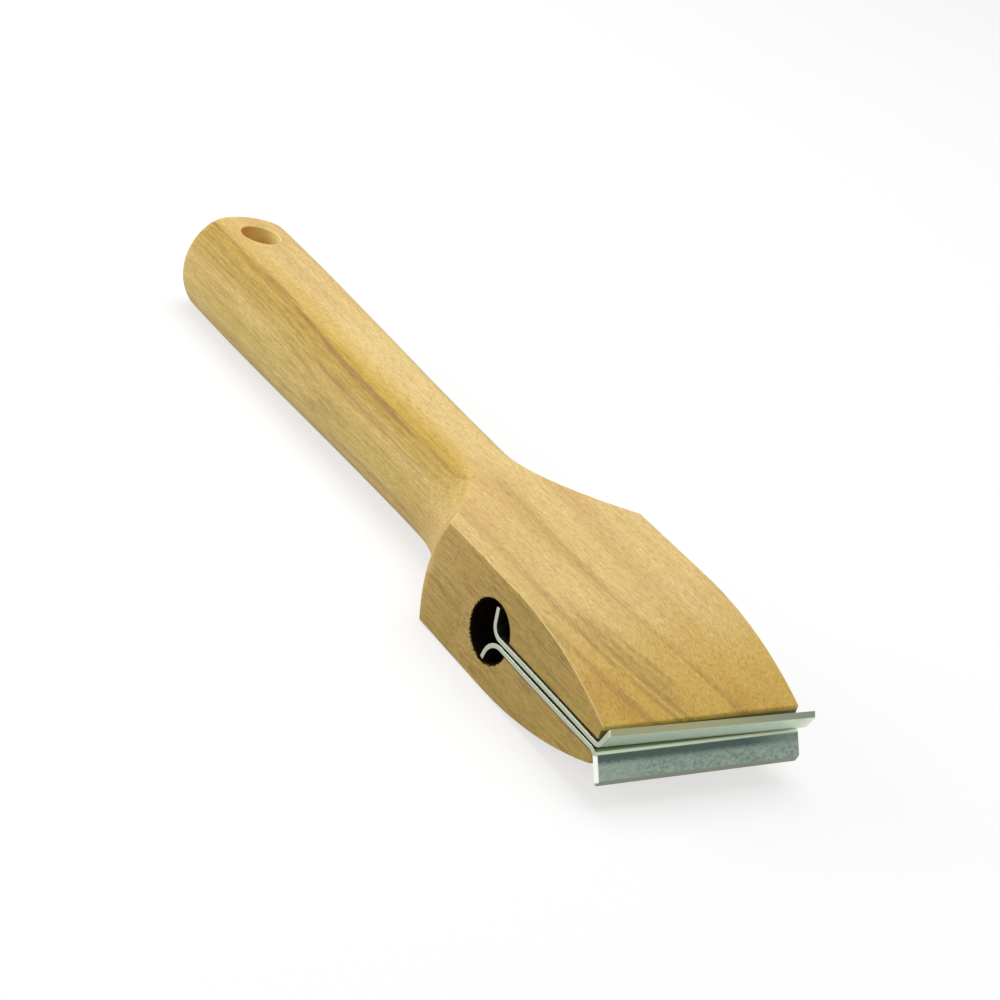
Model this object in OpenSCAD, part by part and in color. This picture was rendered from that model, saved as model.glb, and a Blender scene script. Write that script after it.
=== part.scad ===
// Hand scraper: one piece of beech shaped as a flat head and a turned grip,
// with two bent steel scraping blades that slide sideways into the head.
// Sizes are in millimetres. +X runs to the right along the scraping edges,
// -Y is the scraping end, +Y is the butt of the grip and +Z is up.
// The flat underside of the wood lies on Z = 0.

/* [Head] */
// Width of the head, along the scraping edges
head_width = 60; // [54:0.5:72]
// Thickness of the board that head and grip are cut from
board_thickness = 28.5; // [26:0.5:31]
// Length of the head, from the front end to the crisp corners behind it
head_length = 73; // [66:0.5:90]
// Length of the nose, where top and bottom curve towards the front end
nose_length = 43.5; // [30:0.5:60]
// Thickness of the wood at its front end
nose_thickness = 10.2; // [8:0.2:16]

/* [Grip] */
// Overall length of the wood
wood_length = 251; // [200:1:300]
// Radius of the turned grip just behind the flare
neck_radius = 15.6; // [14.6:0.1:17]
// Radius of the turned grip near its butt end
palm_radius = 17.7; // [15:0.1:20]
// Radius of the hollow curve between the grip and the head
flare_radius = 40; // [20:1:50]
// Slope of the shoulder where the flare meets the head, in degrees
shoulder_angle = 45; // [35:1:60]
// Length of the rounded butt end
butt_round = 10; // [5:0.5:14]

/* [Hanging hole] */
// Diameter of the hanging hole
hanging_hole_diameter = 12; // [8:0.5:14]
// Distance from the butt end to the middle of the hanging hole
hanging_hole_inset = 17.5; // [15:0.5:30]

/* [Blade seat] */
// Diameter of the hole across the head that holds the blade tails
tail_hole_diameter = 15.5; // [14:0.5:18]
// Distance from the front end of the wood to the middle of that hole
tail_hole_distance = 46.5; // [40:0.5:55]
// Distance of the slot's middle below the middle of the board
slot_drop = 0.45; // [0:0.05:1]
// Clearance between the bowed part of a blade and the wall of the slot
slot_clearance = 0.5; // [0.05:0.05:0.6]

/* [Blades] */
// Length of each blade along its scraping edge
blade_width = 62; // [55:0.5:75]
// Thickness of the steel
steel_thickness = 1.2; // [1:0.1:1.5]
// How far each blade bows away from the other one inside the slot
blade_bow = 0.15; // [0.05:0.05:0.6]
// Distance from each blade to the slot's middle plane at the ends of the slot
middle_gap = 0.2; // [0.05:0.05:0.4]
// Distance that the upper blade stands to the right of the head's middle
upper_blade_shift = 0.8; // [-5:0.1:5]
// Distance that the lower blade stands to the right of the head's middle
lower_blade_shift = 0.7; // [-5:0.1:5]
// Angle of the ground edge against the face of the lip
edge_angle = 50; // [35:1:70]
// Clearance between the end of a tail and the wall of its hole
tail_clearance = 0.4; // [0.3:0.05:1]

/* [Upper blade] */
// Angle that the upper lip is bent through
upper_lip_angle = 68; // [50:1:80]
// Radius on the inside of the upper lip's bend
upper_lip_bend = 1.2; // [0.7:0.1:3]
// Straight length of the upper lip, from its bend to its edge
upper_lip_length = 4.9; // [3:0.1:8]
// Smallest clearance between the upper lip and the front end of the wood
upper_lip_clearance = 0.55; // [0.1:0.05:1.5]
// Angle between the upper blade's bends and the front end of the wood
upper_blade_skew = 1.4; // [0:0.1:2]
// Angle that the upper tail is bent through
upper_tail_angle = 80; // [50:1:85]
// Radius on the inside of the upper tail's bend
upper_tail_bend = 3; // [1:0.1:4]
// Distance of the upper tail's end in front of the middle of its hole
upper_tail_lead = 1.2; // [0:0.1:2]

/* [Lower blade] */
// Angle that the lower lip is bent through
lower_lip_angle = 56; // [50:1:80]
// Radius on the inside of the lower lip's bend
lower_lip_bend = 2.5; // [0.7:0.1:3]
// Straight length of the lower lip, from its bend to its edge
lower_lip_length = 6.5; // [3:0.1:8]
// Clearance between the lower lip and the front end of the wood
lower_lip_clearance = 0.15; // [0.1:0.05:1.5]
// Angle that the lower tail is bent through
lower_tail_angle = 80; // [50:1:85]
// Radius on the inside of the lower tail's bend
lower_tail_bend = 4.8; // [1:0.1:5]
// Distance of the lower tail's end in front of the middle of its hole
lower_tail_lead = 0.4; // [0:0.1:2]

/* [Hidden] */
// Height from the middle plane to either flat face of the wood
half_board = board_thickness / 2;
// Height from the slot's middle plane to either of its walls
half_slot = middle_gap + steel_thickness + blade_bow + slot_clearance;
// Radius of the curve on the top and on the bottom of the nose
nose_drop = half_board - nose_thickness / 2;
nose_radius = (nose_length * nose_length + nose_drop * nose_drop) / (2 * nose_drop);
// Radius of the circle through the corners of the head's cross-section
corner_radius = norm([head_width / 2, half_board]);
// Radius and place where the shoulder turns into the hollow flare
flare_start_radius = neck_radius + flare_radius * (1 - cos(shoulder_angle));
flare_start = head_length + (corner_radius - flare_start_radius) / tan(shoulder_angle);
// Place where the flare runs out into the grip, and where the butt begins
grip_start = flare_start + flare_radius * sin(shoulder_angle);
grip_end = wood_length - butt_round;
// Height of the middle of the steel over the slot's middle plane, at both ends of the slot
web_height = middle_gap + steel_thickness / 2;
// How much further forward the skewed upper blade stands at its right end than at its middle
skew_reach = tan(upper_blade_skew) * blade_width / 2;

// Points of a circular arc around c
function arc(c, r, from, to, steps) =
  [for (i = [0:steps]) c + r * [cos(from + (to - from) * i / steps), sin(from + (to - from) * i / steps)]];
function reversed(list) = [for (i = [len(list) - 1:-1:0]) list[i]];
function mirrored(list) = [for (p = list) [-p[0], p[1]]];

// Place behind the front end of the wood where a lip bend starts. The inside of
// the bend passes the wall of the slot at the given clearance in front of the wood.
function front_of_web(angle, r, clearance) =
  let (turn = min(angle, acos(max(-1, 1 - (half_slot - middle_gap - steel_thickness) / r))))
  r * sin(turn) - clearance;

// Straight length of a tail that ends at the wall of the hole, at the tail's
// place in it. The wall is further from the slot's middle plane by extra.
function tail_straight(angle, r, lead, extra) =
  let (
    wall = sqrt(pow(tail_hole_diameter / 2, 2) - lead * lead) + extra,
    end = wall - tail_clearance - steel_thickness / 2 * cos(angle)
  )
  max(0.1, (end - web_height - (r + steel_thickness / 2) * (1 - cos(angle))) / sin(angle));

// Place behind the front end of the wood where a tail bend starts
function back_of_web(angle, r, straight, lead) =
  tail_hole_distance - lead - straight * cos(angle) - (r + steel_thickness / 2) * sin(angle);

// Half length, radius and half turn of the bowed part of a blade
function bowed(front, back) =
  let (half = (back - front) / 2, radius = (half * half + blade_bow * blade_bow) / (2 * blade_bow))
  [half, radius, asin(half / radius)];

// One face of a blade from its middle to one end. The bend turns by angle
// around an inside radius r, and the straight end beyond it is length long.
function face(web, angle, r, side, length) =
  let (
    rw = web[1] + side * steel_thickness / 2,
    rb = r + (side > 0 ? 0 : steel_thickness),
    c = [web[0], web_height] + (r + steel_thickness / 2) * [sin(web[2]), cos(web[2])],
    bend_end = c + rb * [sin(angle), -cos(angle)]
  )
  concat(
    arc([0, web_height + blade_bow - web[1]], rw, 90, 90 - web[2], 8),
    arc(c, rb, -90 - web[2], -90 + angle, 10),
    [bend_end + length * [cos(angle), sin(angle)]]
  );

// Cross-section of a blade over the slot's middle plane. The first coordinate
// points forwards. A lip is [angle, bend radius, straight length, clearance] and
// a tail is [angle, bend radius, straight length, lead].
function blade_section(lip, tail) =
  let (
    ground = steel_thickness / tan(edge_angle),
    front = front_of_web(lip[0], lip[1], lip[3]),
    back = back_of_web(tail[0], tail[1], tail[2], tail[3]),
    web = bowed(front, back),
    front_inner = face(web, lip[0], lip[1], 1, lip[2]),
    front_outer = face(web, lip[0], lip[1], -1, lip[2] - ground),
    back_inner = mirrored(face(web, tail[0], tail[1], 1, tail[2])),
    back_outer = mirrored(face(web, tail[0], tail[1], -1, tail[2])),
    outline = concat(front_outer, reversed(front_inner), back_inner, reversed(back_outer))
  )
  [for (i = [0:len(outline) - 1])
    if (norm(outline[i] - outline[(i + 1) % len(outline)]) > 0.001)
      outline[i] - [(back + front) / 2, 0]];

upper_tail_length =
  tail_straight(upper_tail_angle, upper_tail_bend, upper_tail_lead + skew_reach, slot_drop);
lower_tail_length = tail_straight(lower_tail_angle, lower_tail_bend, lower_tail_lead, -slot_drop);
upper_section = blade_section(
  [upper_lip_angle, upper_lip_bend, upper_lip_length, upper_lip_clearance + skew_reach],
  [upper_tail_angle, upper_tail_bend, upper_tail_length, upper_tail_lead]);
lower_section = blade_section(
  [lower_lip_angle, lower_lip_bend, lower_lip_length, lower_lip_clearance],
  [lower_tail_angle, lower_tail_bend, lower_tail_length, lower_tail_lead]);

// Overall box: it is centred over the origin in X and in Y
front_reach = max(
  max([for (p = upper_section) p[0]]) + skew_reach,
  max([for (p = lower_section) p[0]]));
middle_y = (wood_length - front_reach) / 2;
right_side = max(head_width, blade_width + 2 * max(upper_blade_shift, lower_blade_shift)) / 2;
left_side = max(head_width, blade_width - 2 * min(upper_blade_shift, lower_blade_shift)) / 2;
middle_x = (right_side - left_side) / 2;

// Side view of the wood, with its curved nose
function nose_height(u) =
  half_board - nose_radius + sqrt(nose_radius * nose_radius - (nose_length - u) * (nose_length - u));
function side_view() =
  let (steps = 28, top = [for (i = [0:steps]) [-nose_length * i / steps, nose_height(nose_length * i / steps)]])
  concat(
    top,
    [[-wood_length - 1, half_board], [-wood_length - 1, -half_board]],
    reversed([for (p = top) [p[0], -p[1]]])
  );

// Half outline of the turned form: radius, then distance from the front end
function turned_view() =
  concat(
    [[0, -2], [corner_radius + 6, -2]],
    [[corner_radius + 6, head_length - 6 / tan(shoulder_angle)]],
    [for (i = [0:9])
      let (a = shoulder_angle * (1 - i / 9))
      [neck_radius + flare_radius * (1 - cos(a)), grip_start - flare_radius * sin(a)]],
    [for (i = [1:10])
      let (s = i / 10)
      [neck_radius + (palm_radius - neck_radius) * (1 - cos(180 * s)) / 2,
        grip_start + (grip_end - grip_start) * s]],
    [for (i = [1:10])
      let (a = 9 * i)
      [palm_radius * cos(a), grip_end + butt_round * sin(a)]]
  );

// Moves the working frame, front end of the wood on the middle plane, to its place
module place() {
  translate([-middle_x, -middle_y, half_board])
    children();
}

// Draws a side view across the head; its first coordinate points forwards
module across(width) {
  rotate([90, 0, -90])
    linear_extrude(height = width, center = true)
      children();
}

module handle() {
  color([0.83, 0.66, 0.40])
    place()
      difference() {
        intersection() {
          across(head_width)
            polygon(side_view());
          rotate([-90, 0, 0])
            rotate_extrude($fn = 120)
              polygon(turned_view());
        }
        translate([0, tail_hole_distance, 0])
          rotate([0, 90, 0])
            cylinder(h = head_width + 2, d = tail_hole_diameter, center = true, $fn = 64);
        translate([-head_width / 2 - 1, -1, -half_slot - slot_drop])
          cube([head_width + 2, tail_hole_distance + 1, 2 * half_slot]);
        translate([0, wood_length - hanging_hole_inset, 0])
          cylinder(h = board_thickness + 2, d = hanging_hole_diameter, center = true, $fn = 64);
      }
}

module upper_blade() {
  color([0.62, 0.66, 0.62])
    place()
      translate([upper_blade_shift, 0, -slot_drop])
        multmatrix([[1, 0, 0, 0], [-tan(upper_blade_skew), 1, 0, 0], [0, 0, 1, 0], [0, 0, 0, 1]])
          across(blade_width)
            polygon(upper_section);
}

module lower_blade() {
  color([0.58, 0.63, 0.59])
    place()
      translate([lower_blade_shift, 0, -slot_drop])
        mirror([0, 0, 1])
          across(blade_width)
            polygon(lower_section);
}

handle();
upper_blade();
lower_blade();
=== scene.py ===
"""Hand scraper: a beech head and grip in one piece, with two bent steel blades in its slot.

Lengths are written in millimetres in the wood's own frame: x to the right of its middle plane,
u back from its front end, z up from the middle of the board. place() turns them into metres.
"""
import math

import bmesh
import bpy
from mathutils import Matrix, Vector


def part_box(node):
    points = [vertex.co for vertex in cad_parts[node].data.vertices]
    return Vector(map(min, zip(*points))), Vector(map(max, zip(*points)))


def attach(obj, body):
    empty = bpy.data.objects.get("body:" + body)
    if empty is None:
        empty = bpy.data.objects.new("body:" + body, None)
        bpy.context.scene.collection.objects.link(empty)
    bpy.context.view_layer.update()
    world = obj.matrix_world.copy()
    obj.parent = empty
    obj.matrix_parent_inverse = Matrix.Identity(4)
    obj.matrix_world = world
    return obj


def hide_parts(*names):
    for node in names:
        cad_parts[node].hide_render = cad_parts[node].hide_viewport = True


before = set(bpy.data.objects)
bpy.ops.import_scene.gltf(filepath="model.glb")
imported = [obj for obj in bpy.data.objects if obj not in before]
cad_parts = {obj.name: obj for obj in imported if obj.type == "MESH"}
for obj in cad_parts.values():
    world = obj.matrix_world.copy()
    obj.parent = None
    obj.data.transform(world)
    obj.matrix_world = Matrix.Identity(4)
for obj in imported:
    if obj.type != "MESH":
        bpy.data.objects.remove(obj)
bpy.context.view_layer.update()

# Sizes of the wood
HEAD_HALF_WIDTH = 30.0
HALF_BOARD = 14.25
HEAD_LENGTH = 73.0
NOSE_LENGTH = 43.5
NOSE_HALF_THICKNESS = 5.1
WOOD_LENGTH = 251.0
NECK_RADIUS = 15.6
PALM_RADIUS = 17.7
FLARE_RADIUS = 40.0
SHOULDER_ANGLE = math.radians(45)
BUTT_ROUND = 10.0
HANGING_HOLE_RADIUS = 6.0
HANGING_HOLE_INSET = 17.5
TAIL_HOLE_RADIUS = 7.75
TAIL_HOLE_DISTANCE = 46.5

# Sizes of the blades and their slot
SLOT_DROP = 0.45
SLOT_CLEARANCE = 0.5
BLADE_WIDTH = 62.0
STEEL = 1.2
BLADE_BOW = 0.15
MIDDLE_GAP = 0.2
TAIL_CLEARANCE = 0.4
EDGE_ANGLE = math.radians(50)
BLADES = {
    "upper_blade": {
        "body": "blade_top", "side": 1, "shift": 0.8, "skew": math.tan(math.radians(1.4)),
        "lip": 4.9, "lip_angle": math.radians(68), "lip_bend": 1.2, "lip_clearance": 0.55,
        "tail_angle": math.radians(80), "tail_bend": 3.0, "tail_lead": 1.2, "mottle": 1.0,
    },
    "lower_blade": {
        "body": "blade_bottom", "side": -1, "shift": 0.7, "skew": 0.0,
        "lip": 6.5, "lip_angle": math.radians(56), "lip_bend": 2.5, "lip_clearance": 0.15,
        "tail_angle": math.radians(80), "tail_bend": 4.8, "tail_lead": 0.4, "mottle": 0.6,
    },
}

# Sizes that follow from them
HALF_SLOT = MIDDLE_GAP + STEEL + BLADE_BOW + SLOT_CLEARANCE
WEB_HEIGHT = MIDDLE_GAP + STEEL / 2
NOSE_DROP = HALF_BOARD - NOSE_HALF_THICKNESS
NOSE_RADIUS = (NOSE_LENGTH ** 2 + NOSE_DROP ** 2) / (2 * NOSE_DROP)
CORNER_RADIUS = math.hypot(HEAD_HALF_WIDTH, HALF_BOARD)
FLARE_START_RADIUS = NECK_RADIUS + FLARE_RADIUS * (1 - math.cos(SHOULDER_ANGLE))
FLARE_START = HEAD_LENGTH + (CORNER_RADIUS - FLARE_START_RADIUS) / math.tan(SHOULDER_ANGLE)
GRIP_START = FLARE_START + FLARE_RADIUS * math.sin(SHOULDER_ANGLE)
GRIP_END = WOOD_LENGTH - BUTT_ROUND
HANGING_HOLE_DISTANCE = WOOD_LENGTH - HANGING_HOLE_INSET

# Rounding of the edges
CRISP_EASE = 0.45        # the head's edges
RIM_EASE = 0.3           # the rims of the holes and the slot
CRISP_RUN = 3.0          # how far the head's crisp edges run on into the flare
CRISP_END = FLARE_START + CRISP_RUN
GRIP_BLEND = 1.1         # how softly the grip's flats run into its round sides
GRIP_BLEND_RUN = 22.0    # length over which the edges become as soft as that
BUTT_BLEND = 2.2         # the same two at the butt
BUTT_BLEND_RUN = 30.0
BLADE_EASE = 0.12        # a blade's edges
LIP_CORNER = 0.7         # a lip's two corners
CRISP_ANGLE = math.radians(15)
RIM_ANGLE = math.radians(60)
BLADE_EDGE_ANGLE = math.radians(30)

# Fineness of the meshes
TOP_STEPS = 20           # along the flat top of a section
SIDE_STEPS = 30          # down one side of a section
EDGE_STEP = 0.06         # share of a side's half height that is left free for the rounded edge
NOSE_RINGS = 18
SHOULDER_RINGS = 3
CRISP_RINGS = 2
FLARE_RINGS = 18
GRIP_RINGS = 20
BUTT_RINGS = 30
HOLE_STEPS = 96
WEB_STEPS = 12           # along half of a blade's bowed web
BEND_STEPS = 16
FLAT_ANGLE = math.radians(0.2)
TOUCH = 0.001            # points that are nearer to each other are one
OVERCUT = 2.0            # how far a cutter stands out of the wood
FLAT_WEIGHT = 60         # how much the large faces rule the shading

# The wood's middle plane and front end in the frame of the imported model
MM = 0.001
low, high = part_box("handle")
MIDDLE = ((low.x + high.x) / 2, low.y, (low.z + high.z) / 2)


# Small tools for meshes
def place(bm):
    """Moves a bmesh from the wood's own frame, in millimetres, to its place in metres."""
    bmesh.ops.scale(bm, vec=(MM, MM, MM), verts=bm.verts)
    bmesh.ops.translate(bm, vec=MIDDLE, verts=bm.verts)


def as_object(name, bm):
    """Makes an object of a bmesh that is in its place, with its faces turned outwards."""
    bmesh.ops.recalc_face_normals(bm, faces=bm.faces)
    mesh = bpy.data.meshes.new(name)
    bm.to_mesh(mesh)
    bm.free()
    piece = bpy.data.objects.new(name, mesh)
    bpy.context.scene.collection.objects.link(piece)
    return piece


def finish(piece):
    """Shades a piece smoothly, with even flats, and turns its modifiers into plain mesh."""
    flats = piece.modifiers.new("even shading", "WEIGHTED_NORMAL")
    flats.mode = "FACE_AREA"
    flats.weight = FLAT_WEIGHT
    piece.data.shade_smooth()
    bpy.context.view_layer.update()
    shown = piece.evaluated_get(bpy.context.evaluated_depsgraph_get())
    mesh = bpy.data.meshes.new_from_object(shown)
    piece.modifiers.clear()
    piece.data = mesh


def of_kind(kind, geometry):
    return [part for part in geometry if isinstance(part, kind)]


def sharp_edges(bm, angle):
    """The edges whose two faces meet at more than an angle."""
    return [edge for edge in bm.edges
            if len(edge.link_faces) == 2 and edge.calc_face_angle() > angle]


# Sections of the wood
def ramp(u, start, length):
    """0 up to a start, then straight up to 1 over a length."""
    return min(1, max(0, (u - start) / length))


def turned_radius(u):
    """Radius of the turned form at a distance behind the front end."""
    if u < FLARE_START:
        return FLARE_START_RADIUS + (FLARE_START - u) * math.tan(SHOULDER_ANGLE)
    if u < GRIP_START:
        return NECK_RADIUS + FLARE_RADIUS - math.sqrt(FLARE_RADIUS ** 2 - (GRIP_START - u) ** 2)
    along = (u - GRIP_START) / (GRIP_END - GRIP_START)
    return NECK_RADIUS + (PALM_RADIUS - NECK_RADIUS) * (1 - math.cos(math.pi * along)) / 2


def softened(z, u):
    """Height of a point of the turned form after the board's flat faces have cut it off."""
    blend = CRISP_EASE * ramp(u, CRISP_END, CRISP_RUN)
    blend += (GRIP_BLEND - CRISP_EASE) * ramp(u, CRISP_END + CRISP_RUN, GRIP_BLEND_RUN)
    blend += (BUTT_BLEND - GRIP_BLEND) * ramp(u, GRIP_END - BUTT_BLEND_RUN, BUTT_BLEND_RUN)
    over = abs(z) - HALF_BOARD
    near = max(0, 1 - abs(over) / max(blend, TOUCH))
    return math.copysign(min(abs(z), HALF_BOARD) - near * near * blend / 4, z)


def section(corner, side):
    """Closed outline of the wood: corner(c, sign) gives a point of the top edge, or with -1 of
    the bottom edge, for c from -1 to 1. side(f) gives a point of the right side for f from 1
    at the top to -1."""
    across = [-math.cos(math.pi * j / TOP_STEPS) for j in range(TOP_STEPS + 1)]
    down = [(1 - EDGE_STEP) * (1 - 2 * k / SIDE_STEPS) for k in range(SIDE_STEPS + 1)]
    right = [side(f) for f in down]
    left = [(-x, u, z) for x, u, z in reversed(right)]
    return ([corner(c, 1) for c in across] + right
            + [corner(-c, -1) for c in across] + left)


def head_section(u):
    half = HALF_BOARD
    if u < NOSE_LENGTH:
        half += math.sqrt(NOSE_RADIUS ** 2 - (NOSE_LENGTH - u) ** 2) - NOSE_RADIUS
    return section(lambda c, sign: (c * HEAD_HALF_WIDTH, u, sign * half),
                   lambda f: (HEAD_HALF_WIDTH, u, f * half))


def shoulder_section(t):
    """From the head's crisp corners, t = 0, over the cone to the start of the flare, t = 1."""
    u_top = HEAD_LENGTH + (FLARE_START - HEAD_LENGTH) * t

    def side(f):
        z = f * HALF_BOARD
        u_edge = HEAD_LENGTH + CORNER_RADIUS - math.hypot(HEAD_HALF_WIDTH, z)
        u = u_edge + (FLARE_START - u_edge) * t
        start = math.atan2(z, HEAD_HALF_WIDTH)
        end = f * math.asin(HALF_BOARD / FLARE_START_RADIUS)
        turn = start + (end - start) * t
        return (turned_radius(u) * math.cos(turn), u, turned_radius(u) * math.sin(turn))

    half_flat = math.sqrt(turned_radius(u_top) ** 2 - HALF_BOARD ** 2)
    return section(lambda c, sign: (c * half_flat, u_top, sign * HALF_BOARD), side)


def round_section(r, r_start, u):
    """A ring of the turned form with radius r. Its points keep the turn that they have at
    r_start."""
    half_flat = math.sqrt(r_start ** 2 - HALF_BOARD ** 2)
    turn = math.asin(HALF_BOARD / r_start)

    def at(x, z):
        return (x, u, softened(z, u))

    def corner(c, sign):
        way = math.atan2(HALF_BOARD, c * half_flat)
        if r == r_start:
            return at(c * half_flat, sign * math.sqrt(r * r - (c * half_flat) ** 2))
        return at(r * math.cos(way), sign * r * math.sin(way))

    return section(corner, lambda f: at(r * math.cos(f * turn), r * math.sin(f * turn)))


def grip_section(u):
    return round_section(turned_radius(u), turned_radius(u), u)


def butt_section(t):
    """From the edge of the rounded butt, t = 0, to its tip, t = 1."""
    slope = t * math.pi / 2
    u = GRIP_END + BUTT_ROUND * math.sin(slope)
    return round_section(PALM_RADIUS * math.cos(slope), PALM_RADIUS, u)


def spread(start, end, count):
    """Even steps from start to end, both included."""
    return [start + (end - start) * i / count for i in range(count + 1)]


def wood_sections():
    rings = [head_section(u) for u in spread(0, NOSE_LENGTH, NOSE_RINGS)]
    rings += [shoulder_section(t) for t in spread(0, 1, SHOULDER_RINGS)]
    rings += [grip_section(u) for u in spread(FLARE_START, CRISP_END, CRISP_RINGS)[1:]]
    rings += [grip_section(u) for u in spread(CRISP_END, GRIP_START, FLARE_RINGS)[1:]]
    rings += [grip_section(u) for u in spread(GRIP_START, GRIP_END, GRIP_RINGS)[1:-1]]
    rings += [butt_section(t) for t in spread(0, 1, BUTT_RINGS)[:-1]]
    return rings


# The wood
def wood_blank():
    """The wood before boring and slotting: one section drawn out along its length."""
    bm = bmesh.new()
    spot = bm.verts.layers.int.new("spot")
    rings = wood_sections()
    outline = []
    for i, point in enumerate(rings[0]):
        v = bm.verts.new(point)
        v[spot] = i
        outline.append(v)
    front = end = bm.faces.new(outline)
    for ring in rings[1:]:
        drawn = bmesh.ops.extrude_face_region(bm, geom=[end])["geom"]
        for v in of_kind(bmesh.types.BMVert, drawn):
            v.co = ring[v[spot]]
        if end.is_valid and end is not front:
            bm.faces.remove(end)
        end = of_kind(bmesh.types.BMFace, drawn)[0]
    tip = bmesh.ops.poke(bm, faces=[end])["verts"][0]
    tip.co = (0, WOOD_LENGTH, 0)
    bmesh.ops.remove_doubles(bm, verts=bm.verts, dist=TOUCH)
    bmesh.ops.recalc_face_normals(bm, faces=bm.faces)

    def stays(edge):
        """Rings stay across the grip's flats, apart from those that the hanging hole meets."""
        a, b = (v.co.y for v in edge.verts)
        from_hole = abs(a - HANGING_HOLE_DISTANCE)
        return abs(a - b) < TOUCH and a > CRISP_END and from_hole > HANGING_HOLE_RADIUS + 1

    bmesh.ops.dissolve_limit(bm, angle_limit=FLAT_ANGLE, verts=bm.verts,
                             edges=[edge for edge in bm.edges if not stays(edge)])
    return bm


def mark_crisp_edges(bm):
    """Marks the head's edges, which are rounded. Behind the head the wood is soft already."""
    weight = bm.edges.layers.float.new("bevel_weight_edge")
    for edge in sharp_edges(bm, CRISP_ANGLE):
        if max(v.co.y for v in edge.verts) < CRISP_END + 10 * TOUCH:
            edge[weight] = 1


def cutter(name, bm):
    place(bm)
    return as_object(name, bm)


def slot_cutter():
    """A block from just in front of the wood to the middle of the cross hole."""
    ahead = 1.0
    size = (2 * (HEAD_HALF_WIDTH + OVERCUT), TAIL_HOLE_DISTANCE + ahead, 2 * HALF_SLOT)
    bm = bmesh.new()
    bmesh.ops.create_cube(bm, size=1)
    bmesh.ops.scale(bm, vec=size, verts=bm.verts)
    bmesh.ops.translate(bm, vec=(0, (TAIL_HOLE_DISTANCE - ahead) / 2, -SLOT_DROP), verts=bm.verts)
    return cutter("slot cutter", bm)


def tail_hole_cutter():
    across = Matrix.Rotation(math.pi / 2, 4, "Y")
    bm = bmesh.new()
    bmesh.ops.create_cone(bm, cap_ends=True, segments=HOLE_STEPS, radius1=TAIL_HOLE_RADIUS,
                          radius2=TAIL_HOLE_RADIUS, depth=2 * (HEAD_HALF_WIDTH + OVERCUT),
                          matrix=Matrix.Translation((0, TAIL_HOLE_DISTANCE, 0)) @ across)
    return cutter("tail hole cutter", bm)


def hanging_hole_cutter():
    """A spool, so that the hanging hole's rims come out rounded."""
    arc = [math.radians(degrees) for degrees in (0, 18, 36, 54, 70)]
    rim = [(HANGING_HOLE_RADIUS + RIM_EASE * (1 - math.cos(a)),
            HALF_BOARD - RIM_EASE * (1 - math.sin(a))) for a in arc]
    r, z = rim[-1]
    r_out = r + RIM_EASE
    rim += [(r_out, z + RIM_EASE / 3), (r_out, HALF_BOARD + OVERCUT)]
    side_view = [(r, -z) for r, z in reversed(rim)] + rim
    bm = bmesh.new()
    chain = [bm.verts.new((r, 0, z)) for r, z in side_view]
    edges = [bm.edges.new(pair) for pair in zip(chain, chain[1:])]
    bmesh.ops.spin(bm, geom=chain + edges, cent=(0, 0, 0), axis=(0, 0, 1), angle=2 * math.pi,
                   steps=HOLE_STEPS, use_merge=True)
    bmesh.ops.remove_doubles(bm, verts=bm.verts, dist=TOUCH)
    bmesh.ops.holes_fill(bm, edges=bm.edges, sides=0)
    bmesh.ops.translate(bm, vec=(0, HANGING_HOLE_DISTANCE, 0), verts=bm.verts)
    return cutter("hanging hole cutter", bm)


def cut_away(wood, tool):
    cut = wood.modifiers.new(tool.name, "BOOLEAN")
    cut.operation = "DIFFERENCE"
    cut.solver = "EXACT"
    cut.object = tool


def round_off(wood, name, method, width, steps):
    """Rounds the edges that are marked (WEIGHT) or sharp (ANGLE)."""
    rounding = wood.modifiers.new(name, "BEVEL")
    rounding.limit_method = method
    rounding.angle_limit = RIM_ANGLE
    rounding.width = width * MM
    rounding.segments = steps
    rounding.use_clamp_overlap = False


def make_wood():
    bm = wood_blank()
    mark_crisp_edges(bm)
    place(bm)
    wood = as_object("beech_handle", bm)
    slot, tail_hole, hanging_hole = slot_cutter(), tail_hole_cutter(), hanging_hole_cutter()
    round_off(wood, "eased edges", "WEIGHT", CRISP_EASE, 4)
    cut_away(wood, slot)
    cut_away(wood, tail_hole)
    round_off(wood, "eased rims", "ANGLE", RIM_EASE, 2)
    cut_away(wood, hanging_hole)
    finish(wood)
    for tool in (slot, tail_hole, hanging_hole):
        bpy.data.objects.remove(tool)
    return wood


# The blades
def spin_strip(bm, edge, centre, turn, steps):
    """Draws the strip's end edge round a bend and returns the new end edge."""
    drawn = bmesh.ops.spin(bm, geom=[edge, *edge.verts], cent=centre, axis=(1, 0, 0),
                           dvec=(0, 0, 0), angle=turn, steps=steps, use_duplicate=False)
    return of_kind(bmesh.types.BMEdge, drawn["geom_last"])[0]


def push_strip(bm, edge, way):
    """Draws the strip's end edge straight on."""
    drawn = bmesh.ops.extrude_edge_only(bm, edges=[edge])["geom"]
    bmesh.ops.translate(bm, vec=way, verts=of_kind(bmesh.types.BMVert, drawn))
    return next(e for e in of_kind(bmesh.types.BMEdge, drawn) if all(v in drawn for v in e.verts))


def web_turn(front, back):
    """Radius of a blade's bowed web, and the turn from its middle to its end."""
    half = (back - front) / 2
    radius = (half ** 2 + BLADE_BOW ** 2) / (2 * BLADE_BOW)
    return radius, math.asin(half / radius)


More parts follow.
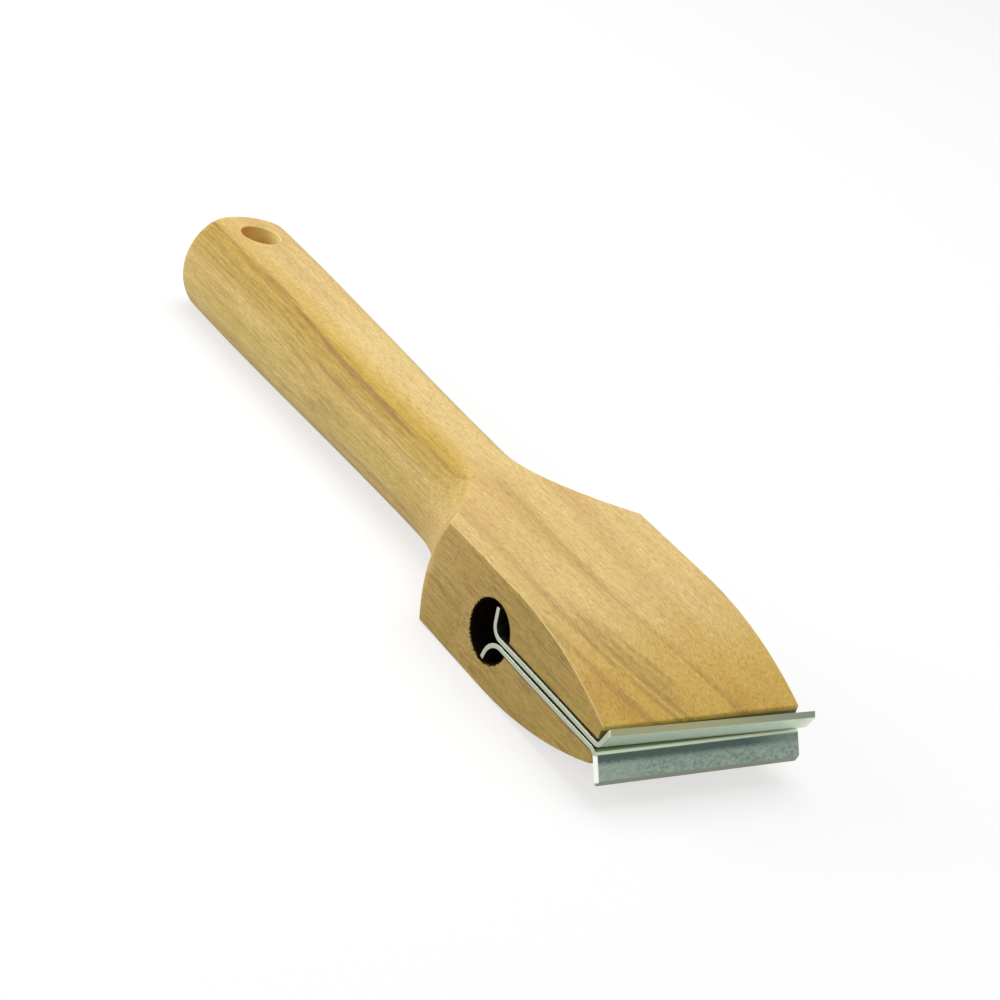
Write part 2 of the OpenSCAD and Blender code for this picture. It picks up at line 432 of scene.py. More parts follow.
def blade_web(facts):
    """Where a blade's web starts and ends along u, and the straight length of its tail."""
    reach = facts["skew"] * BLADE_WIDTH / 2
    bend, angle = facts["lip_bend"], facts["lip_angle"]
    turn = min(angle, math.acos(max(-1, 1 - (HALF_SLOT - MIDDLE_GAP - STEEL) / bend)))
    front = bend * math.sin(turn) - facts["lip_clearance"] - reach
    bend, angle = facts["tail_bend"] + STEEL / 2, facts["tail_angle"]
    wall = math.sqrt(TAIL_HOLE_RADIUS ** 2 - (facts["tail_lead"] + reach) ** 2)
    wall += facts["side"] * SLOT_DROP
    end = wall - TAIL_CLEARANCE - STEEL / 2 * math.cos(angle)
    tail = (end - WEB_HEIGHT - bend * (1 - math.cos(angle))) / math.sin(angle)
    back = TAIL_HOLE_DISTANCE - facts["tail_lead"]
    back -= tail * math.cos(angle) + bend * math.sin(angle)
    return front, back, tail


def half_strip(bm, way, front, back, angle, bend, straight):
    """One half of the strip's side view, from the middle of the web. way is -1 to the front."""
    middle = (front + back) / 2
    radius, turn = web_turn(front, back)
    foot = WEB_HEIGHT + BLADE_BOW
    a = bm.verts.new((0, middle, foot - STEEL / 2))
    b = bm.verts.new((0, middle, foot + STEEL / 2))
    edge = spin_strip(bm, bm.edges.new((a, b)), (0, middle, foot - radius), -way * turn, WEB_STEPS)
    bend_centre = (0, middle + way * ((back - front) / 2 + (bend + STEEL / 2) * math.sin(turn)),
                   WEB_HEIGHT + (bend + STEEL / 2) * math.cos(turn))
    edge = spin_strip(bm, edge, bend_centre, way * (angle + turn), BEND_STEPS)
    along = Vector((0, way * math.cos(angle), math.sin(angle)))
    return push_strip(bm, edge, along * straight), along


def lip_corners(bm, front, side):
    """The short edges through the steel at the two corners of the lip."""
    def height(v):
        return v.co.z * side

    highest = max(height(v) for v in bm.verts if v.co.y < front)
    outwards = Vector((0, -1, side))

    def at_corner(edge):
        a, b = edge.verts
        return (max(a.co.y, b.co.y) < front
                and min(height(a), height(b)) > highest - 1.6 * STEEL
                and max(height(a), height(b)) > highest - TOUCH
                and edge.calc_length() > STEEL
                and abs(a.co.x - b.co.x) < 10 * TOUCH
                and any(face.normal.dot(outwards) > 0.9 for face in edge.link_faces))

    return [edge for edge in bm.edges if at_corner(edge)]


def bevel(bm, edges, width, steps):
    bmesh.ops.bevel(bm, geom=edges, offset=width, offset_type="OFFSET", segments=steps,
                    profile=0.5, affect="EDGES", material=-1, clamp_overlap=False)


def make_blade(name, facts):
    """A strip's side view drawn out to the blade's width, then slid and skewed as it sits."""
    front, back, tail = blade_web(facts)
    bm = bmesh.new()
    edge, along = half_strip(bm, -1, front, back, facts["lip_angle"], facts["lip_bend"],
                             facts["lip"])
    outer = min(edge.verts, key=lambda v: v.co.y)
    outer.co -= along * (STEEL / math.tan(EDGE_ANGLE))
    half_strip(bm, 1, front, back, facts["tail_angle"], facts["tail_bend"], tail)
    bmesh.ops.remove_doubles(bm, verts=bm.verts, dist=TOUCH)
    if facts["side"] < 0:
        bmesh.ops.scale(bm, vec=(1, 1, -1), verts=bm.verts)
    bmesh.ops.recalc_face_normals(bm, faces=bm.faces)
    bmesh.ops.translate(bm, vec=(-BLADE_WIDTH / 2, 0, 0), verts=bm.verts)
    drawn = bmesh.ops.extrude_face_region(bm, geom=bm.faces[:])["geom"]
    bmesh.ops.translate(bm, vec=(BLADE_WIDTH, 0, 0), verts=of_kind(bmesh.types.BMVert, drawn))
    bmesh.ops.recalc_face_normals(bm, faces=bm.faces)
    bevel(bm, lip_corners(bm, front, facts["side"]), LIP_CORNER, 5)
    bevel(bm, sharp_edges(bm, BLADE_EDGE_ANGLE), BLADE_EASE, 3)
    for v in bm.verts:
        v.co.y -= facts["skew"] * v.co.x
    bmesh.ops.translate(bm, vec=(facts["shift"], 0, -SLOT_DROP), verts=bm.verts)
    place(bm)
    blade = as_object("steel_" + name, bm)
    finish(blade)
    return blade


# Small tools for node trees
class Paint:
    """A node tree that is written as formulas."""

    def __init__(self, tree):
        self.tree = tree

    def node(self, kind, inputs=(), **settings):
        """A node with its inputs set to values or linked to sockets."""
        made = self.tree.nodes.new(kind)
        for key, value in settings.items():
            setattr(made, key, value)
        for key, value in dict(inputs).items():
            if isinstance(value, bpy.types.NodeSocket):
                self.tree.links.new(value, made.inputs[key])
            elif value is not None:
                made.inputs[key].default_value = value
        return made

    def math(self, operation, a, b=None, c=None):
        return self.node("ShaderNodeMath", {0: a, 1: b, 2: c}, operation=operation).outputs[0]

    def times(self, value, *factors):
        """Product of a value and its factors."""
        for factor in factors:
            value = self.math("MULTIPLY", value, factor)
        return value

    def linear(self, value, factor, base):
        """base + factor * value."""
        return self.math("MULTIPLY_ADD", value, factor, base)

    def distance(self, a, b):
        """Length of the way whose two legs are a and b."""
        squares = [self.math("POWER", leg, 2.0) for leg in (a, b)]
        return self.math("SQRT", self.math("ADD", *squares))

    def mix(self, factor, a, b, blend="MIX"):
        made = self.node("ShaderNodeMix", {0: factor, 6: a, 7: b}, data_type="RGBA",
                         blend_type=blend)
        return made.outputs[2]

    def stretch(self, point, scale, shift=(0, 0, 0)):
        """Scales a position, so that a pattern gets its size in millimetres."""
        return self.node("ShaderNodeMapping", {"Vector": point, "Scale": scale,
                                               "Location": shift}).outputs[0]

    def noise(self, point, scale, shift=(0, 0, 0), detail=2.0, roughness=0.5):
        """Soft noise. scale is one over the size of a patch, in millimetres, along x, u and z."""
        where = self.stretch(point, scale, shift)
        return self.node("ShaderNodeTexNoise", {"Vector": where, "Scale": 1.0, "Detail": detail,
                                                "Roughness": roughness}).outputs[0]

    def level(self, value, low, high, start=0.0, end=1.0):
        """low up to start, high from end on, and straight between them."""
        return self.node("ShaderNodeMapRange", {"Value": value, "From Min": start, "From Max": end,
                                                "To Min": low, "To Max": high}).outputs[0]

    def smooth(self, value, start, end):
        """0 at start, 1 at end, with a soft passage between."""
        return self.node("ShaderNodeMapRange", {"Value": value, "From Min": start,
                                                "From Max": end},
                         interpolation_type="SMOOTHSTEP").outputs[0]

    def band(self, value, start, end, soft):
        """1 between start and end, with a soft passage to 0 outside them."""
        return self.times(self.smooth(value, start - soft, start),
                          self.smooth(value, end + soft, end))

    def wood_point(self):
        """The position in millimetres in the wood's own frame."""
        spot = self.node("ShaderNodeTexCoord").outputs["Object"]
        scale = 1 / MM
        return self.stretch(spot, (scale,) * 3, tuple(-m * scale for m in MIDDLE))

    def parts(self, point):
        return self.node("ShaderNodeSeparateXYZ", {0: point}).outputs[:]

    def bump(self, height, strength, depth):
        """Normal of a fine relief. depth is in millimetres."""
        return self.node("ShaderNodeBump", {"Height": height, "Strength": strength,
                                            "Distance": depth * MM}).outputs[0]


def new_material(name):
    material = bpy.data.materials.new(name)
    material.use_nodes = True
    material.node_tree.nodes.clear()
    return material, Paint(material.node_tree)


def new_group(name, inputs, outputs):
    """A shared effect: a shader node group with named sockets."""
    tree = bpy.data.node_groups.new(name, "ShaderNodeTree")
    for label, kind, value in inputs:
        socket = tree.interface.new_socket(label, in_out="INPUT", socket_type=kind)
        if value is not None:
            socket.default_value = value
    for label, kind in outputs:
        tree.interface.new_socket(label, in_out="OUTPUT", socket_type=kind)
    paint = Paint(tree)
    given = paint.node("NodeGroupInput").outputs
    return tree, paint, given, paint.node("NodeGroupOutput").inputs


def make_speckle_group():
    """Fine uneven tone, for the torn fibres of the wood and the mottled zinc on the steel."""
    tree, paint, given, out = new_group(
        "speckle", [("Point", "NodeSocketVector", None), ("Size", "NodeSocketFloat", 1.0)],
        [("Value", "NodeSocketFloat")])
    shrink = paint.math("DIVIDE", 1.0, given["Size"])
    spot = paint.node("ShaderNodeVectorMath", {0: given["Point"], "Scale": shrink},
                      operation="SCALE").outputs[0]
    spots = paint.node("ShaderNodeTexNoise", {"Vector": spot, "Scale": 1.0, "Detail": 3.0,
                                              "Roughness": 0.6}).outputs[0]
    tree.links.new(paint.smooth(spots, 0.3, 0.7), out["Value"])
    return tree


SPECKLE = make_speckle_group()


def speckle(paint, point, size):
    return paint.node("ShaderNodeGroup", {"Point": point, "Size": size},
                      node_tree=SPECKLE).outputs["Value"]


# Beech
PALE_BEECH = (0.745, 0.548, 0.208, 1)
WARM_BEECH = (0.650, 0.440, 0.138, 1)
PINK_BEECH = (0.710, 0.460, 0.195, 1)
GRIP_TOP_SHEEN = (0.810, 0.615, 0.245, 1)
GOLDEN_BEECH = (0.640, 0.420, 0.066, 1)
DEEP_GOLD = (0.600, 0.380, 0.040, 1)
ORANGE_BEECH = (0.570, 0.310, 0.050, 1)
OLIVE_BEECH = (0.600, 0.465, 0.120, 1)
HONEY_SHADE = (0.500, 0.330, 0.045, 1)
SIDE_BEECH = (0.440, 0.300, 0.068, 1)
CHEEK_PINK = (0.540, 0.320, 0.110, 1)
CHEEK_OLIVE = (0.350, 0.255, 0.050, 1)
EDGE_HIGHLIGHT = (0.800, 0.600, 0.270, 1)
STREAK_BROWN = (0.350, 0.205, 0.045, 1)
FRONT_SHADE = (0.110, 0.080, 0.018, 1)
SLOT_SHADE = (0.240, 0.155, 0.060, 1)
MOUTH_SHADE = (0.520, 0.350, 0.120, 1)
HOLE_LIGHT = (0.960, 0.800, 0.300, 1)
HOLE_SHADED = (0.840, 0.480, 0.100, 1)
BORE_SHADE = (0.012, 0.007, 0.004, 1)
DARKER_FIBRE = (0.83, 0.79, 0.70, 1)
DARKER_FLECK = (0.66, 0.60, 0.48, 1)
LIGHTER_SPOT = (1.09, 1.10, 1.12, 1)

# Patterns in the beech: whether one follows the slanting rings, one over the size of its patches
# in millimetres along x, u and z, its shift, its detail and its roughness
PATTERNS = {
    "broad": (True, (0.12, 0.012, 0.12), (2.1, 0.4, 5.2), 2.0, 0.5),
    "lines": (True, (0.60, 0.014, 0.60), (9.1, 2.4, 3.3), 3.0, 0.6),
    "long lines": (True, (1.3, 0.035, 1.3), (5.5, 1.9, 4.2), 2.0, 0.6),
    "cheek lines": (True, (0.3, 0.022, 0.50), (6.3, 2.2, 0.4), 3.0, 0.6),
    "patches": (False, (0.09, 0.05, 0.09), (3.1, 7.7, 1.9), 2.0, 0.5),
    "fibres": (False, (3.0, 0.20, 3.0), (1.1, 0.4, 0.3), 2.0, 0.6),
    "flecks": (False, (2.1, 0.45, 2.1), (4.1, 8.4, 2.3), 1.0, 0.5),
    "spots": (False, (1.6, 0.9, 1.6), (0.7, 5.4, 8.1), 1.0, 0.5),
    "cracks": (False, (1.0, 0.10, 2.4), (0.9, 3.6, 7.2), 2.0, 0.5),
}
WANDER = 4.0             # how far the streaks wander sideways
RING_SLANT = 1.7         # how far they move to the right for each millimetre that the nose drops

# Darker streaks that run through the wood along its grain:
# x, half width, place along u where it starts and ends, how strong it is
STREAKS = [
    (-3.9, 3.2, 32, 100, 0.25),
    (-4.2, 1.0, -12, 60, 0.20),
    (-3.2, 2.2, -12, 32, 0.22),
    (-23.6, 2.6, 14, 96, 0.36),
    (-18.4, 3.0, -2, 42, 0.42),
    (-14.8, 1.4, 0, 34, 0.34),
    (-31.0, 2.2, -12, 40, 0.30),
    (-24.0, 1.4, -14, 34, 0.40),
    (-21.0, 1.6, -14, 34, 0.44),
    (-11.6, 2.2, 88, 268, 0.22),
    (-11.3, 0.9, 88, 272, 0.95),
    (-14.4, 0.6, 100, 262, 0.44),
    (-16.2, 0.5, 110, 230, 0.30),
    (1.5, 0.9, 90, 250, 0.12),
    (13.0, 3.0, 20, 110, 0.10),
]
STREAK_FADE = 14         # length over which a streak comes and goes


class Beech:
    """The colour of the wood, with its painted light and shade, laid on layer by layer."""

    def __init__(self, paint):
        """The places and patterns that the layers follow, and the ground tone."""
        self.paint = paint
        self.point = paint.wood_point()
        self.x, self.u, self.z = paint.parts(self.point)
        drop = paint.times(paint.math("SUBTRACT", self.z, HALF_BOARD), paint.smooth(self.u, 62, 46))
        bent_x = paint.linear(drop, RING_SLANT, paint.math("SUBTRACT", self.x, WANDER / 2))
        wander = paint.noise(self.point, (0.03, 0.012, 0.03), (7, 3, 1), detail=1.0)
        self.bent_x = paint.linear(wander, WANDER, bent_x)
        rings = paint.node("ShaderNodeCombineXYZ", {0: self.bent_x, 1: self.u, 2: self.z})
        self.patterns = {
            name: paint.noise(rings.outputs[0] if follows_rings else self.point, *sizes)
            for name, (follows_rings, *sizes) in PATTERNS.items()}

        self.across = paint.math("ABSOLUTE", self.x)
        self.on_grip = paint.smooth(self.u, 78, 112)
        self.on_side = paint.times(self.on_grip, paint.smooth(self.z, 14.2, 12.8))
        self.on_head = paint.smooth(self.u, 76.0, 73.5)
        self.on_cheek = paint.times(paint.smooth(self.across, 29.5, 29.95), self.on_head)
        self.dashes = self.seen("flecks", 0.52, 0.70)

        self.tone = paint.mix(self.seen("broad", 0.36, 0.68), PALE_BEECH, WARM_BEECH)
        self.lay(paint.times(self.seen("patches", 0.46, 0.66), 0.45), PINK_BEECH)
        self.lay(paint.times(self.seen("lines", 0.44, 0.70), 0.40), WARM_BEECH)

    def seen(self, pattern, start, end):
        """Where a pattern's noise is stronger than start, in full from end on."""
        return self.paint.smooth(self.patterns[pattern], start, end)

    def lay(self, mask, colour, blend="MIX"):
        """Lays a colour over the tone so far."""
        self.tone = self.paint.mix(mask, self.tone, colour, blend)

    def lay_grip(self):
        """The grip's rounded sides: olive low down, painted shade in honey brown under the edge of
        the flat top, and a painted sheen on the flat top.
        """
        paint, u, z = self.paint, self.u, self.z
        self.lay(paint.times(self.seen("lines", 0.34, 0.60), self.on_side, 0.70), OLIVE_BEECH)
        # Painted sheen: the grip's flat top is laid lighter
        self.lay(paint.times(paint.band(u, 112, 165, 30), paint.smooth(z, 13.6, 14.2), 0.6),
                 GRIP_TOP_SHEEN)
        # Painted shade: honey brown on the upper part of the grip's rounded sides, under the edge of
        # the flat top
        honey_shade = paint.linear(self.seen("long lines", 0.35, 0.60), 0.35, 0.65)
        self.lay(paint.times(paint.band(z, 9.0, 12.4, 5.5), self.on_side, honey_shade), HONEY_SHADE)
        self.lay(paint.times(paint.band(self.bent_x, -10.6, -6.5, 2.5), self.on_grip, 0.50),
                 GOLDEN_BEECH)
        self.lay(paint.times(self.seen("long lines", 0.52, 0.72),
                             paint.linear(self.on_side, 0.30, 0.10)), STREAK_BROWN)

    def lay_nose(self):
        """The nose is more golden, with orange patches at its front and its left corner."""
        paint, x, u = self.paint, self.x, self.u
        self.lay(paint.times(paint.smooth(u, 40, 2), 0.72), GOLDEN_BEECH)
        self.lay(paint.times(paint.smooth(u, 34, 12), 0.30), DEEP_GOLD)
        self.lay(paint.times(self.seen("patches", 0.48, 0.62), paint.smooth(u, 16, 1), 0.6),
                 ORANGE_BEECH)
        self.lay(paint.times(paint.band(x, -28, -21, 5), paint.band(u, 3, 11, 6),
                             self.seen("patches", 0.34, 0.56), 0.55), ORANGE_BEECH)

    def lay_streaks(self):
        paint, u = self.paint, self.u
        uneven = paint.math("ADD", self.seen("lines", 0.30, 0.62),
                            paint.linear(paint.smooth(u, 26, 8), 0.25, 0.40))
        broken = paint.linear(self.seen("long lines", 0.36, 0.54), 0.75, 0.35)
        for where, width, start, end, strength in STREAKS:
            off = paint.math("ABSOLUTE", paint.math("SUBTRACT", self.bent_x, where))
            mask = paint.times(paint.smooth(off, width, width * 0.15), strength, uneven,
                               paint.band(u, start + STREAK_FADE, end - STREAK_FADE, STREAK_FADE))
            if start > HEAD_LENGTH:
                mask = paint.times(mask, broken)
            self.lay(paint.math("MINIMUM", mask, 1.0), STREAK_BROWN)

    def lay_cheeks(self):
        """The head's sides are laid darker, more so between 24 and 40 mm from the front and low down
        at the back, with pink and olive lines, fine cracks and a painted highlight along their edges.
        """
        paint, u, z = self.paint, self.u, self.z
        dark = paint.linear(paint.band(u, 24, 40, 14), 0.14, 0.78)
        dark = paint.linear(paint.smooth(u, 60, 72), -0.22, dark)
        low_back = paint.times(paint.smooth(u, 52, 64), paint.smooth(z, 5, -7))
        dark = paint.linear(low_back, 0.24, dark)
        self.lay(paint.times(self.on_cheek, dark), SIDE_BEECH)
        self.lay(paint.times(self.seen("cheek lines", 0.52, 0.66), self.on_cheek, 0.60), CHEEK_PINK)
        self.lay(paint.times(self.seen("cheek lines", 0.47, 0.34), self.on_cheek, 0.60), CHEEK_OLIVE)
        self.lay(paint.times(self.seen("cracks", 0.56, 0.66), self.on_cheek, 0.85), DARKER_FLECK,
                 blend="MULTIPLY")
        # Painted highlight along the head's edges
        on_edge = paint.times(paint.band(self.across, 29.62, 29.84, 0.10), self.on_head)
        self.lay(paint.times(on_edge, 0.55), EDGE_HIGHLIGHT)

    def lay_fine_figure(self):
        """Fibres, the short dark dashes of beech, lighter spots and painted shade in brown on the
        front end.
        """
        paint = self.paint
        self.lay(paint.times(self.seen("fibres", 0.34, 0.68),
                             paint.linear(self.on_cheek, -0.35, 1.0)), DARKER_FIBRE, blend="MULTIPLY")
        self.lay(paint.times(self.dashes, paint.linear(self.on_side, -0.20, 0.50)), DARKER_FLECK,
                 blend="MULTIPLY")
        self.lay(self.seen("spots", 0.46, 0.70), LIGHTER_SPOT, blend="MULTIPLY")
        # Painted shade: the front end behind the blades' lips is laid dark brown
        self.lay(paint.times(paint.smooth(self.u, 0.30, 0.08), paint.band(self.z, -2.6, 3.7, 0.8)),
                 FRONT_SHADE)

    def lay_holes(self):
        """Painted shade inside the cross hole and the slot, and painted light inside the hanging hole
        with painted shade low down and on its left wall. Returns the mask of the cross hole.
        """
        paint, x, u, z = self.paint, self.x, self.u, self.z
        # Painted shade: the cross hole is laid almost black inside, with a ragged rim
        from_middle = paint.math("SUBTRACT", u, TAIL_HOLE_DISTANCE)
        torn = paint.smooth(paint.math("SUBTRACT", u, z), TAIL_HOLE_DISTANCE - 5,
                            TAIL_HOLE_DISTANCE + 7)
        fuzz = paint.times(paint.math("SUBTRACT", speckle(paint, self.point, 0.5), 0.75),
                           paint.linear(torn, 0.60, 0.15))
        in_hole = paint.smooth(paint.math("ADD", paint.distance(from_middle, z), fuzz),
                               TAIL_HOLE_RADIUS + 0.60, TAIL_HOLE_RADIUS + 0.32)
        self.lay(in_hole, BORE_SHADE)

        # Painted shade inside the slot, lighter towards its mouths
        from_slot = paint.math("ABSOLUTE", paint.math("ADD", z, SLOT_DROP))
        in_slot = paint.times(paint.smooth(from_slot, HALF_SLOT + 0.20, HALF_SLOT + 0.02),
                              paint.smooth(u, TAIL_HOLE_DISTANCE + 0.5, TAIL_HOLE_DISTANCE))
        mouth = paint.smooth(self.across, 27.0, 29.4)
        self.lay(in_slot, paint.mix(mouth, SLOT_SHADE, MOUTH_SHADE))

        # Painted light inside the hanging hole, with painted shade low down and on its left wall
        from_axis = paint.distance(paint.math("SUBTRACT", u, HANGING_HOLE_DISTANCE), x)
        in_hanging = paint.smooth(from_axis, HANGING_HOLE_RADIUS + 0.30, HANGING_HOLE_RADIUS - 0.02)
        deep = paint.math("MAXIMUM", paint.smooth(z, 12.5, 6.0), paint.smooth(x, 4, -3))
        self.lay(in_hanging, paint.mix(deep, HOLE_LIGHT, HOLE_SHADED))
        return in_hole


def make_beech():
    material, paint = new_material("beech")
    beech = Beech(paint)
    beech.lay_grip()
    beech.lay_nose()
    beech.lay_streaks()
    beech.lay_cheeks()
    beech.lay_fine_figure()
    in_hole = beech.lay_holes()
    fibres = beech.patterns["fibres"]
    height = paint.math("ADD", paint.times(fibres, 0.5), paint.times(beech.dashes, -0.35))
    shader = paint.node("ShaderNodeBsdfPrincipled", {
        "Base Color": beech.tone,
        "Roughness": paint.level(fibres, 0.50, 0.64, 0.3, 0.7),
        "Normal": paint.bump(height, 0.35, 0.06),
        "IOR": 1.45,
        "Specular IOR Level": paint.linear(in_hole, -0.5, 0.5)})
    paint.node("ShaderNodeOutputMaterial", {"Surface": shader.outputs[0]})
    return material


# Steel
ZINC = (0.480, 0.560, 0.450, 1)
ZINC_DARK = (0.330, 0.400, 0.330, 1)
ZINC_PALE = (0.570, 0.680, 0.520, 1)
DIM_REFLECTION_ZINC = (0.262, 0.342, 0.282, 1)
DIM_REFLECTION_DARK = (0.150, 0.200, 0.175, 1)
VALLEY_SHADE = (0.230, 0.270, 0.170, 1)
TEAL_REFLECTION = (0.060, 0.095, 0.080, 1)
GLEAM = (0.600, 0.670, 0.520, 1)
GROUND = (0.345, 0.345, 0.195, 1)
GROUND_GREY = (0.250, 0.278, 0.220, 1)
GROUND_DARK = (0.230, 0.250, 0.190, 1)
TAIL_SHADE = (0.060, 0.062, 0.055, 1)
SHEARED = (0.470, 0.500, 0.390, 1)
HIGHLIGHT = (0.930, 0.940, 0.860, 1)


def lip_facts(facts):
    """The bend's centre, the way along the lip and the way out of its front face, in u and z."""
    front, back, _ = blade_web(facts)
    _, turn = web_turn(front, back)
    bend, angle = facts["lip_bend"] + STEEL / 2, facts["lip_angle"]
    centre = (front - bend * math.sin(turn), WEB_HEIGHT + bend * math.cos(turn))
    return centre, (-math.cos(angle), math.sin(angle)), (-math.sin(angle), -math.cos(angle))


def lower_lip_reflections(paint, x, up_lip, patches, grain):
    """The duller lower lip, painted: a dim mottled reflection that is darker towards its left end, a
    painted dark reflection under its bend, a painted highlight on the bend and painted shade in the
    valley behind.
    """
    uneven = paint.linear(patches, 0.7, up_lip)
    # Painted dim reflection: the lower lip's zinc is laid darker and mottled
    dim_reflection = paint.mix(patches, DIM_REFLECTION_ZINC, DIM_REFLECTION_DARK)
    dim_reflection = paint.mix(paint.times(grain, 0.35), dim_reflection, ZINC_DARK)
    dim_reflection = paint.mix(paint.times(paint.smooth(x, -10, -28), 0.45), dim_reflection, ZINC_DARK)
    # Painted dark reflection in teal under the bend, weaker towards the right
    dark_reflection = paint.linear(paint.smooth(x, 14, 30), -0.55, 0.92)
    dim_reflection = paint.mix(paint.times(paint.smooth(uneven, 2.6, 1.0), dark_reflection), dim_reflection, TEAL_REFLECTION)
    # Painted highlight on the bend, then painted shade in the valley behind it
    dim_reflection = paint.mix(paint.smooth(up_lip, -0.40, -0.75), dim_reflection, GLEAM)
    return paint.mix(paint.smooth(up_lip, -1.15, -1.45), dim_reflection, VALLEY_SHADE)


def make_steel(name, facts):
    material, paint = new_material("zinc_steel_" + name)
    point = paint.wood_point()
    x, u, z = paint.parts(point)
    x = paint.math("SUBTRACT", x, facts["shift"])
    u = paint.linear(x, facts["skew"], u)
    lifted = paint.times(paint.math("ADD", z, SLOT_DROP), float(facts["side"]))
    across = paint.math("ABSOLUTE", x)
    end = BLADE_WIDTH / 2
    centre, along, outward = lip_facts(facts)

    def measure(way, start):
        """How far a point of the blade's section lies from a start, along a way."""
        return paint.math("ADD", paint.times(paint.math("SUBTRACT", u, start[0]), way[0]),
                          paint.times(paint.math("SUBTRACT", lifted, start[1]), way[1]))

    patches = speckle(paint, paint.stretch(point, (0.45, 0.8, 0.8)), facts["mottle"])
    grain = speckle(paint, point, 0.55)
    tone = paint.mix(patches, ZINC, ZINC_DARK)
    tone = paint.mix(paint.times(grain, 0.30), tone, ZINC_PALE)
    on_lip = paint.smooth(measure(outward, centre), facts["lip_bend"] * 0.5, facts["lip_bend"])
    up_lip = measure(along, centre)
    if facts["side"] > 0:
        # Painted reflection: the upper lip's face is laid paler, with a painted highlight towards its
        # right end
        tone = paint.mix(paint.times(on_lip, 0.75), tone, ZINC_PALE)
        tone = paint.mix(paint.times(on_lip, paint.smooth(x, 26, 31), 0.55), tone, HIGHLIGHT)
    else:
        # Painted reflections, highlight and shade on the lower lip
        tone = paint.mix(on_lip, tone, lower_lip_reflections(paint, x, up_lip, patches, grain))

    # Painted shade on the tails, which lie in the dark of the cross hole
    tail = paint.times(paint.smooth(u, 37.5, 40), paint.smooth(across, 30.95, 30.80))
    tone = paint.mix(paint.times(tail, 0.9), tone, TAIL_SHADE)

    # The ground face at the scraping edge is a plane through the tip of the lip
    tip = tuple(c + o * facts["lip_bend"] + a * facts["lip"]
                for c, o, a in zip(centre, outward, along))
    tilt = math.pi / 2 - EDGE_ANGLE
    face = tuple(a * math.cos(tilt) + o * math.sin(tilt) for a, o in zip(along, outward))
    edge_tone = GROUND_DARK
    if facts["side"] > 0:
        greyer = paint.smooth(paint.linear(grain, 6.0, x), 0, 32)
        edge_tone = paint.mix(greyer, GROUND, GROUND_GREY)
    tone = paint.mix(paint.smooth(measure(face, tip), -0.12, -0.04), tone, edge_tone)
    tone = paint.mix(paint.smooth(across, end - 0.12, end - 0.02), tone, SHEARED)
    if facts["side"] < 0:
        # A painted highlight on the left end of the lower lip
        end_highlight = paint.times(paint.smooth(x, -end + 0.75, -end + 0.30),
                             paint.band(up_lip, -0.2, facts["lip"] - 1.0, 0.5))
        tone = paint.mix(end_highlight, tone, HIGHLIGHT)
    shader = paint.node("ShaderNodeBsdfPrincipled", {
        "Base Color": tone,
        "Roughness": paint.level(patches, 0.34, 0.46),
        "Metallic": 1.0,
        "Normal": paint.bump(grain, 0.25, 0.03)})
    paint.node("ShaderNodeOutputMaterial", {"Surface": shader.outputs[0]})
    return material


# The pieces
wood = make_wood()
wood.data.materials.clear()
wood.data.materials.append(make_beech())
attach(wood, "wood")
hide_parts("handle")

for name, facts in BLADES.items():
    blade = make_blade(name, facts)
    blade.data.materials.clear()
    blade.data.materials.append(make_steel(name, facts))
    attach(blade, facts["body"])
    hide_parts(name)

# Studio, in metres and watts
FLOOR_REACH = 6.0
FLOOR_DROP = 0.0002
FLOOR_SHADE = (0.62, 0.62, 0.62, 1)    # for the light that the floor throws back
FLOOR_TONE = (0.97, 0.97, 0.97, 1)     # for the shadow that is seen on it
WHITE = (1, 1, 1, 1)
FLOOR_GLOW = 0.68                      # share of plain white in the floor that is seen
SKY_LIGHT = 0.40                       # light of the world on the object
LAMPS = {
    "overhead": {"at": (0.10, 0.25, 1.20), "towards": (0, 0, 0), "size": 1.0, "power": 10.5},
    "back left": {"at": (-0.75, 0.55, 0.35), "towards": (0, 0.08, 0.02), "size": 0.5,
                  "power": 4.0},
}
CAMERA_AT = (-0.36441, -0.45203, 0.28977)
CAMERA_AZIMUTH = math.radians(40.7744)
CAMERA_ELEVATION = math.radians(25.7042)
CAMERA_ROLL = math.radians(18.3108)
CAMERA_LENS = 86.4                     # in millimetres, for a sensor of this width
SENSOR_WIDTH = 36


def seen_directly(paint):
    """1 for what the camera sees, itself or in a gloss or glass, and 0 for the light that things
    give each other."""
    path = paint.node("ShaderNodeLightPath").outputs
    seen = paint.math("MAXIMUM", path["Is Camera Ray"], path["Is Glossy Ray"])
    return paint.math("MAXIMUM", seen, path["Is Transmission Ray"])


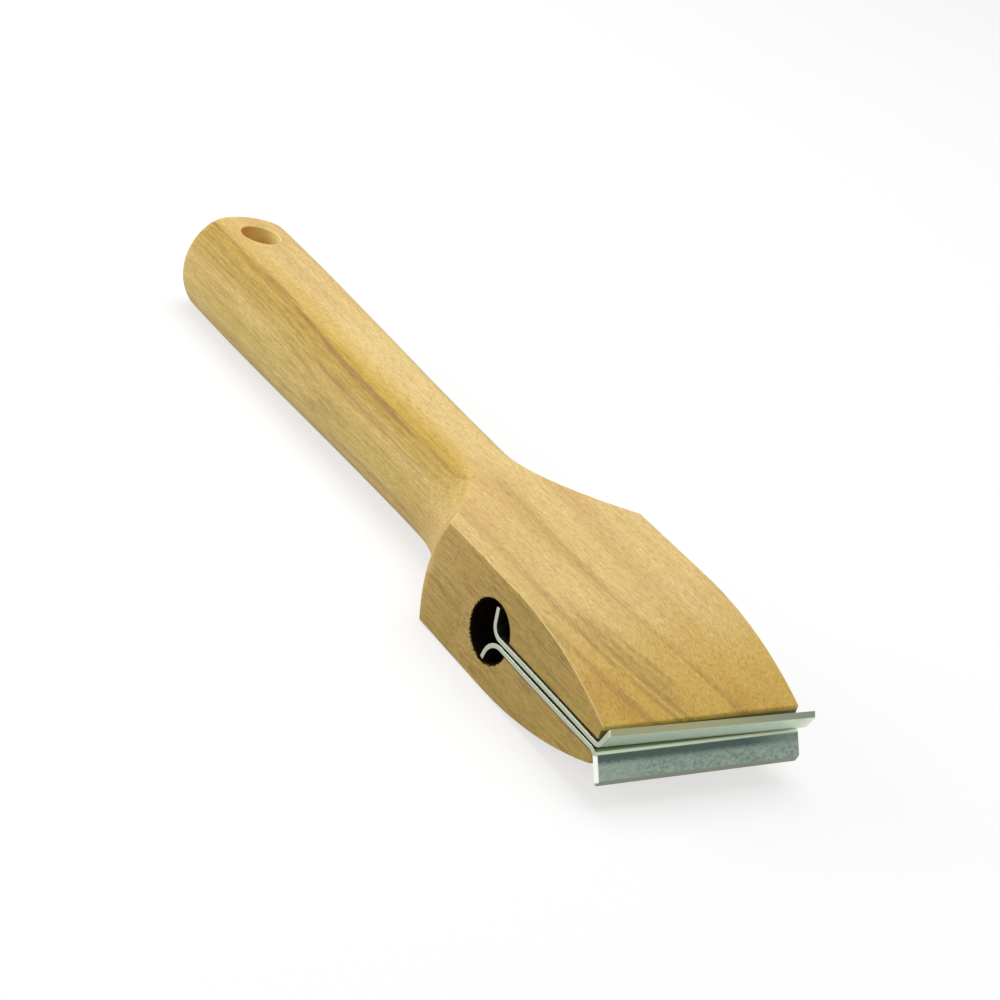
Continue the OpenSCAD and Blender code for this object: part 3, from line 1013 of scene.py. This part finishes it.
def make_floor():
    bm = bmesh.new()
    bmesh.ops.create_grid(bm, x_segments=1, y_segments=1, size=FLOOR_REACH)
    bmesh.ops.translate(bm, vec=(0, 0, -FLOOR_DROP), verts=bm.verts)
    floor = as_object("floor", bm)
    material, paint = new_material("pale_floor")
    plain = paint.node("ShaderNodeBsdfDiffuse", {"Color": FLOOR_SHADE}).outputs[0]
    pale = paint.node("ShaderNodeBsdfDiffuse", {"Color": FLOOR_TONE}).outputs[0]
    white = paint.node("ShaderNodeEmission", {"Color": WHITE, "Strength": 1.0}).outputs[0]
    shown = paint.node("ShaderNodeMixShader", {0: FLOOR_GLOW, 1: pale, 2: white}).outputs[0]
    surface = paint.node("ShaderNodeMixShader", {0: seen_directly(paint), 1: plain, 2: shown})
    paint.node("ShaderNodeOutputMaterial", {"Surface": surface.outputs[0]})
    floor.data.materials.append(material)


def make_world():
    world = bpy.data.worlds.new("studio")
    bpy.context.scene.world = world
    world.use_nodes = True
    world.node_tree.nodes.clear()
    paint = Paint(world.node_tree)
    strength = paint.level(seen_directly(paint), SKY_LIGHT, 1.0)
    sky = paint.node("ShaderNodeBackground", {"Color": WHITE, "Strength": strength}).outputs[0]
    paint.node("ShaderNodeOutputWorld", {"Surface": sky})


def make_softbox(name, at, towards, size, power):
    """A square soft light that faces a point."""
    light = bpy.data.lights.new(name, "AREA")
    light.shape = "SQUARE"
    light.size = size
    light.energy = power
    lamp = bpy.data.objects.new(name, light)
    way = Vector(at) - Vector(towards)
    lamp.matrix_world = Matrix.Translation(at) @ way.to_track_quat("Z", "Y").to_matrix().to_4x4()
    bpy.context.scene.collection.objects.link(lamp)


def make_camera():
    """Camera of the photograph, from the fitted azimuth, elevation and roll."""
    azimuth, elevation, roll = CAMERA_AZIMUTH, CAMERA_ELEVATION, CAMERA_ROLL
    back = Vector((-math.sin(azimuth) * math.cos(elevation),
                   -math.cos(azimuth) * math.cos(elevation), math.sin(elevation)))
    level = Vector((math.cos(azimuth), -math.sin(azimuth), 0))
    right = level * math.cos(roll) + back.cross(level) * math.sin(roll)
    up = back.cross(right)
    data = bpy.data.cameras.new("camera")
    data.lens = CAMERA_LENS
    data.sensor_width = SENSOR_WIDTH
    data.clip_start = 0.01
    camera = bpy.data.objects.new("camera", data)
    turned = Matrix((right, up, back)).transposed().to_4x4()
    camera.matrix_world = Matrix.Translation(CAMERA_AT) @ turned
    bpy.context.scene.collection.objects.link(camera)
    bpy.context.scene.camera = camera


make_floor()
make_world()
for name, facts in LAMPS.items():
    make_softbox(name, **facts)
make_camera()
bpy.context.scene.view_settings.view_transform = "Standard"
